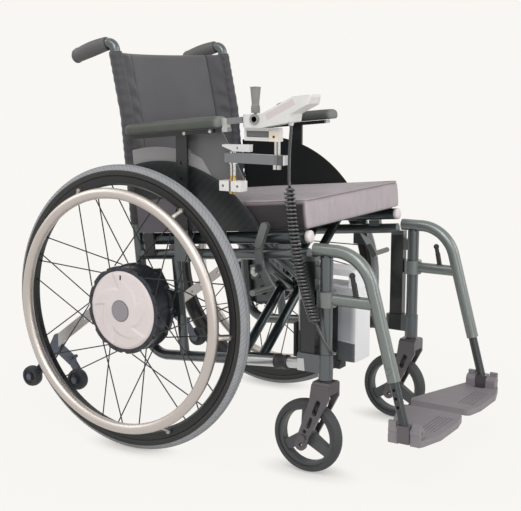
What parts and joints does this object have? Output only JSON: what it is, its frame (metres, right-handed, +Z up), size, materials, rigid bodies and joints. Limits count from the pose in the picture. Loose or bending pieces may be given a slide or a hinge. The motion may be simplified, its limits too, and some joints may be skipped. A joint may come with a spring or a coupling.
{
  "type": "folding wheelchair with hub motor power assist",
  "caption": "Folding wheelchair with hub motors in its spoked rear wheels, a joystick control unit on a swing arm, a battery pack, swing-away legrests, brakes and anti-tip rollers.",
  "frame": {"origin": "on the floor, midway between the foremost and rearmost points", "axes": "+X forward, +Y to the occupant's left, +Z up"},
  "size_m": [1.004, 0.668, 0.8555],
  "materials": {
    "frame_paint": "satin",
    "dark_paint": "satin",
    "dark_plastic": "matte",
    "tyre_rubber": "matte",
    "rim_black": "satin",
    "handrim_steel": "satin",
    "hub_black": "satin",
    "cover_white": "gloss",
    "stator_iron": "matte",
    "caster_grey": "matte",
    "plate_grey": "matte",
    "pad_foam": "matte",
    "skirt_carbon": "satin",
    "bar_grey": "satin",
    "roller_black": "matte",
    "cushion_fabric": "woven",
    "back_fabric": "woven",
    "bright_metal": "satin",
    "control_plastic": "satin",
    "key_grey": "matte",
    "battery_grey": "matte",
    "cord_black": "matte"
  },
  "bodies": {
    "right_frame": {"right_side_frame": "frame_paint", "right_back_cane": "frame_paint", "right_push_grip": "dark_plastic", "right_motor_stator": "stator_iron", "right_skirt_guard": "skirt_carbon", "control_clamp": "bright_metal", "battery_holder": "dark_plastic", "control_cord": "cord_black", "back_upholstery": "back_fabric"},
    "left_frame": {"left_side_frame": "frame_paint", "left_back_cane": "frame_paint", "left_push_grip": "dark_plastic", "left_motor_stator": "stator_iron", "left_skirt_guard": "skirt_carbon"},
    "right_wheel": {"right_tyre": "tyre_rubber", "right_rim": "rim_black", "right_handrim": "handrim_steel", "right_hub_shell": "hub_black", "right_hub_cover": "cover_white"},
    "right_caster": {"right_caster_fork": "dark_paint"},
    "right_caster_roll": {"right_caster_wheel": "caster_grey"},
    "right_legrest": {"right_hanger": "frame_paint"},
    "right_release": {"right_hanger_lever": "dark_plastic"},
    "right_foot": {"right_foot_tube": "dark_paint"},
    "right_plate": {"right_footplate": "plate_grey"},
    "right_brake": {"right_brake_lever": "dark_paint"},
    "right_armrest": {"right_arm_pad": "pad_foam", "right_arm_post": "dark_paint"},
    "right_antitip": {"right_antitip_arm": "bar_grey"},
    "right_rear_roller": {"right_antitip_rear_roller": "roller_black"},
    "right_front_roller": {"right_antitip_front_roller": "roller_black"},
    "left_wheel": {"left_tyre": "tyre_rubber", "left_rim": "rim_black", "left_handrim": "handrim_steel", "left_hub_shell": "hub_black", "left_hub_cover": "cover_white"},
    "left_caster": {"left_caster_fork": "dark_paint"},
    "left_caster_roll": {"left_caster_wheel": "caster_grey"},
    "left_legrest": {"left_hanger": "frame_paint"},
    "left_release": {"left_hanger_lever": "dark_plastic"},
    "left_foot": {"left_foot_tube": "dark_paint"},
    "left_plate": {"left_footplate": "plate_grey"},
    "left_brake": {"left_brake_lever": "dark_paint"},
    "left_armrest": {"left_arm_pad": "pad_foam", "left_arm_post": "dark_paint"},
    "left_antitip": {"left_antitip_arm": "bar_grey"},
    "left_rear_roller": {"left_antitip_rear_roller": "roller_black"},
    "left_front_roller": {"left_antitip_front_roller": "roller_black"},
    "cross_a": {"cross_arm_a": "dark_paint", "cross_bolt": "bright_metal"},
    "cross_b": {"cross_arm_b": "dark_paint", "seat_sling": "back_fabric", "seat_cushion": "cushion_fabric"},
    "control": {"control_arm": "dark_paint", "control_housing": "control_plastic"},
    "control_release": {"control_lever": "bright_metal"},
    "keys": {"control_keys": "key_grey"},
    "gimbal": {"joystick_gimbal": "bright_metal"},
    "stick": {"joystick": "key_grey"},
    "battery": {"battery_pack": "battery_grey"}
  },
  "joints": [
    {"name": "right_wheel_spin", "type": "hinge", "parent": "right_frame", "child": "right_wheel", "pos_m": [-0.144, -0.281, 0.3], "axis": [0, 1, 0], "continuous": true},
    {"name": "right_caster_swivel", "type": "hinge", "parent": "right_frame", "child": "right_caster", "pos_m": [0.28, -0.199, 0.195], "axis": [0, 0, 1], "continuous": true},
    {"name": "right_caster_spin", "type": "hinge", "parent": "right_caster", "child": "right_caster_roll", "pos_m": [0.242, -0.199, 0.075], "axis": [0, 1, 0], "continuous": true},
    {"name": "right_legrest_swing", "type": "hinge", "parent": "right_frame", "child": "right_legrest", "pos_m": [0.28, -0.199, 0.437], "axis": [0, 0, -1], "range_deg": [0, 80]},
    {"name": "right_legrest_release", "type": "hinge", "parent": "right_legrest", "child": "right_release", "pos_m": [0.346, -0.199, 0.356], "axis": [0, 1, 0], "range_deg": [0, 12]},
    {"name": "right_foot_height", "type": "slide", "parent": "right_legrest", "child": "right_foot", "axis": [0.2696, 0, -0.963], "range_m": [-0.03, 0.04]},
    {"name": "right_footplate_flip", "type": "hinge", "parent": "right_foot", "child": "right_plate", "pos_m": [0.45178, -0.196, 0.122], "axis": [1, 0, 0], "range_deg": [0, 91]},
    {"name": "right_brake_pivot", "type": "hinge", "parent": "right_frame", "child": "right_brake", "pos_m": [0.146, -0.224, 0.408], "axis": [0, 1, 0], "range_deg": [0, 20]},
    {"name": "right_armrest_height", "type": "slide", "parent": "right_frame", "child": "right_armrest", "axis": [0, 0, 1], "range_m": [0, 0.04]},
    {"name": "right_antitip_fold", "type": "hinge", "parent": "right_frame", "child": "right_antitip", "pos_m": [-0.184, -0.221, 0.343], "axis": [0, 1, 0], "range_deg": [0, 60]},
    {"name": "right_rear_roller_spin", "type": "hinge", "parent": "right_antitip", "child": "right_rear_roller", "pos_m": [-0.478, -0.23, 0.09], "axis": [0, 1, 0], "continuous": true},
    {"name": "right_front_roller_spin", "type": "hinge", "parent": "right_antitip", "child": "right_front_roller", "pos_m": [-0.338, -0.23, 0.104], "axis": [0, 1, 0], "continuous": true},
    {"name": "left_wheel_spin", "type": "hinge", "parent": "left_frame", "child": "left_wheel", "pos_m": [-0.144, 0.281, 0.3], "axis": [0, 1, 0], "continuous": true},
    {"name": "left_caster_swivel", "type": "hinge", "parent": "left_frame", "child": "left_caster", "pos_m": [0.28, 0.199, 0.195], "axis": [0, 0, 1], "continuous": true},
    {"name": "left_caster_spin", "type": "hinge", "parent": "left_caster", "child": "left_caster_roll", "pos_m": [0.242, 0.199, 0.075], "axis": [0, 1, 0], "continuous": true},
    {"name": "left_legrest_swing", "type": "hinge", "parent": "left_frame", "child": "left_legrest", "pos_m": [0.28, 0.199, 0.437], "axis": [0, 0, 1], "range_deg": [0, 80]},
    {"name": "left_legrest_release", "type": "hinge", "parent": "left_legrest", "child": "left_release", "pos_m": [0.346, 0.199, 0.356], "axis": [0, 1, 0], "range_deg": [0, 12]},
    {"name": "left_foot_height", "type": "slide", "parent": "left_legrest", "child": "left_foot", "axis": [0.2696, 0, -0.963], "range_m": [-0.03, 0.04]},
    {"name": "left_footplate_flip", "type": "hinge", "parent": "left_foot", "child": "left_plate", "pos_m": [0.45178, 0.196, 0.122], "axis": [-1, 0, 0], "range_deg": [0, 91]},
    {"name": "left_brake_pivot", "type": "hinge", "parent": "left_frame", "child": "left_brake", "pos_m": [0.146, 0.224, 0.408], "axis": [0, 1, 0], "range_deg": [0, 20]},
    {"name": "left_armrest_height", "type": "slide", "parent": "left_frame", "child": "left_armrest", "axis": [0, 0, 1], "range_m": [0, 0.04]},
    {"name": "left_antitip_fold", "type": "hinge", "parent": "left_frame", "child": "left_antitip", "pos_m": [-0.184, 0.221, 0.343], "axis": [0, 1, 0], "range_deg": [0, 60]},
    {"name": "left_rear_roller_spin", "type": "hinge", "parent": "left_antitip", "child": "left_rear_roller", "pos_m": [-0.478, 0.23, 0.09], "axis": [0, 1, 0], "continuous": true},
    {"name": "left_front_roller_spin", "type": "hinge", "parent": "left_antitip", "child": "left_front_roller", "pos_m": [-0.338, 0.23, 0.104], "axis": [0, 1, 0], "continuous": true},
    {"name": "fold", "type": "hinge", "parent": "right_frame", "child": "cross_a", "pos_m": [0.10592, -0.177, 0.20853], "axis": [0.9954, 0, 0.0958], "range_deg": [0, 35], "deforming": ["seat_sling", "seat_cushion", "back_upholstery"]},
    {"name": "fold_scissor", "type": "hinge", "parent": "cross_a", "child": "cross_b", "pos_m": [0.09455, 0, 0.32662], "axis": [0.9954, 0, 0.0958], "range_deg": [-70, 0]},
    {"name": "fold_left", "type": "hinge", "parent": "cross_b", "child": "left_frame", "pos_m": [0.10592, 0.177, 0.20853], "axis": [0.9954, 0, 0.0958], "range_deg": [0, 35]},
    {"name": "control_swing", "type": "hinge", "parent": "right_frame", "child": "control", "pos_m": [0.084, -0.228, 0.62], "axis": [0, 0, -1], "range_deg": [0, 90], "deforming": ["control_cord"]},
    {"name": "control_release", "type": "hinge", "parent": "control", "child": "control_release", "pos_m": [0.084, -0.228, 0.636], "axis": [0, 0, 1], "range_deg": [0, 25]},
    {"name": "keys_press", "type": "slide", "parent": "control", "child": "keys", "axis": [0.4366, 0, -0.8997], "range_m": [0, 0.0015], "stiffness_N_per_m": 300},
    {"name": "joystick_roll", "type": "hinge", "parent": "control", "child": "gimbal", "pos_m": [0.137, -0.228, 0.7], "axis": [0, 1, 0], "range_deg": [-18, 18], "stiffness_Nm_per_rad": 0.3},
    {"name": "joystick_pitch", "type": "hinge", "parent": "gimbal", "child": "stick", "pos_m": [0.137, -0.228, 0.7], "axis": [1, 0, 0], "range_deg": [-18, 18], "stiffness_Nm_per_rad": 0.3},
    {"name": "battery_slide", "type": "slide", "parent": "right_frame", "child": "battery", "axis": [1, 0, 0], "range_m": [0, 0.15]}
  ],
  "couplings": [
    {"joint": "fold_scissor", "follows": "fold", "ratio": -2},
    {"joint": "fold_left", "follows": "fold", "ratio": 1},
    {"joint": "right_footplate_flip", "follows": "fold", "ratio": 2.5714},
    {"joint": "left_footplate_flip", "follows": "fold", "ratio": 2.5714}
  ]
}
